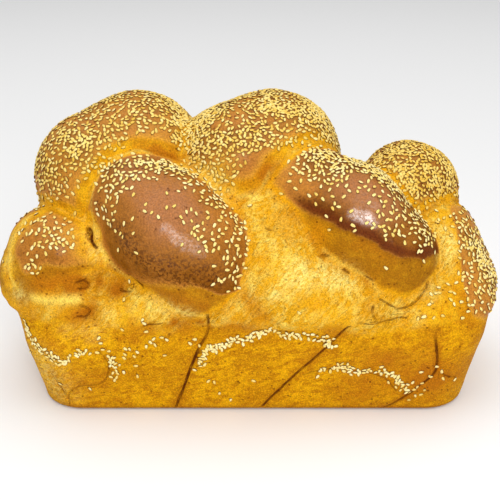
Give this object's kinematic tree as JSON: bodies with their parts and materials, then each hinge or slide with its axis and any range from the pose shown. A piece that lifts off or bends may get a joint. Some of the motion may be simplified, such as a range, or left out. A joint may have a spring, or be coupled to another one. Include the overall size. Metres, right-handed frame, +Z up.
{
  "type": "challah",
  "caption": "Tall braided challah baked in a loaf tin, with a dark glossy egg-washed crust, pale torn folds and sesame seeds.",
  "frame": {"origin": "under the middle of the loaf, on the flat face it rests on", "axes": "+X along the loaf, +Z up, -Y the side with the two dark glossy strands"},
  "size_m": [0.2702, 0.1262, 0.159],
  "materials": {
    "crust": "baked egg-washed crust, glossy brown on the crowns, golden on the tin sides, pale yellow in the torn folds",
    "sesame": "pale cream sesame seed, satin",
    "sesame_toasted": "lightly toasted golden sesame seed, satin"
  },
  "bodies": {
    "root": {"challah_loaf": "crust"}
  },
  "joints": []
}
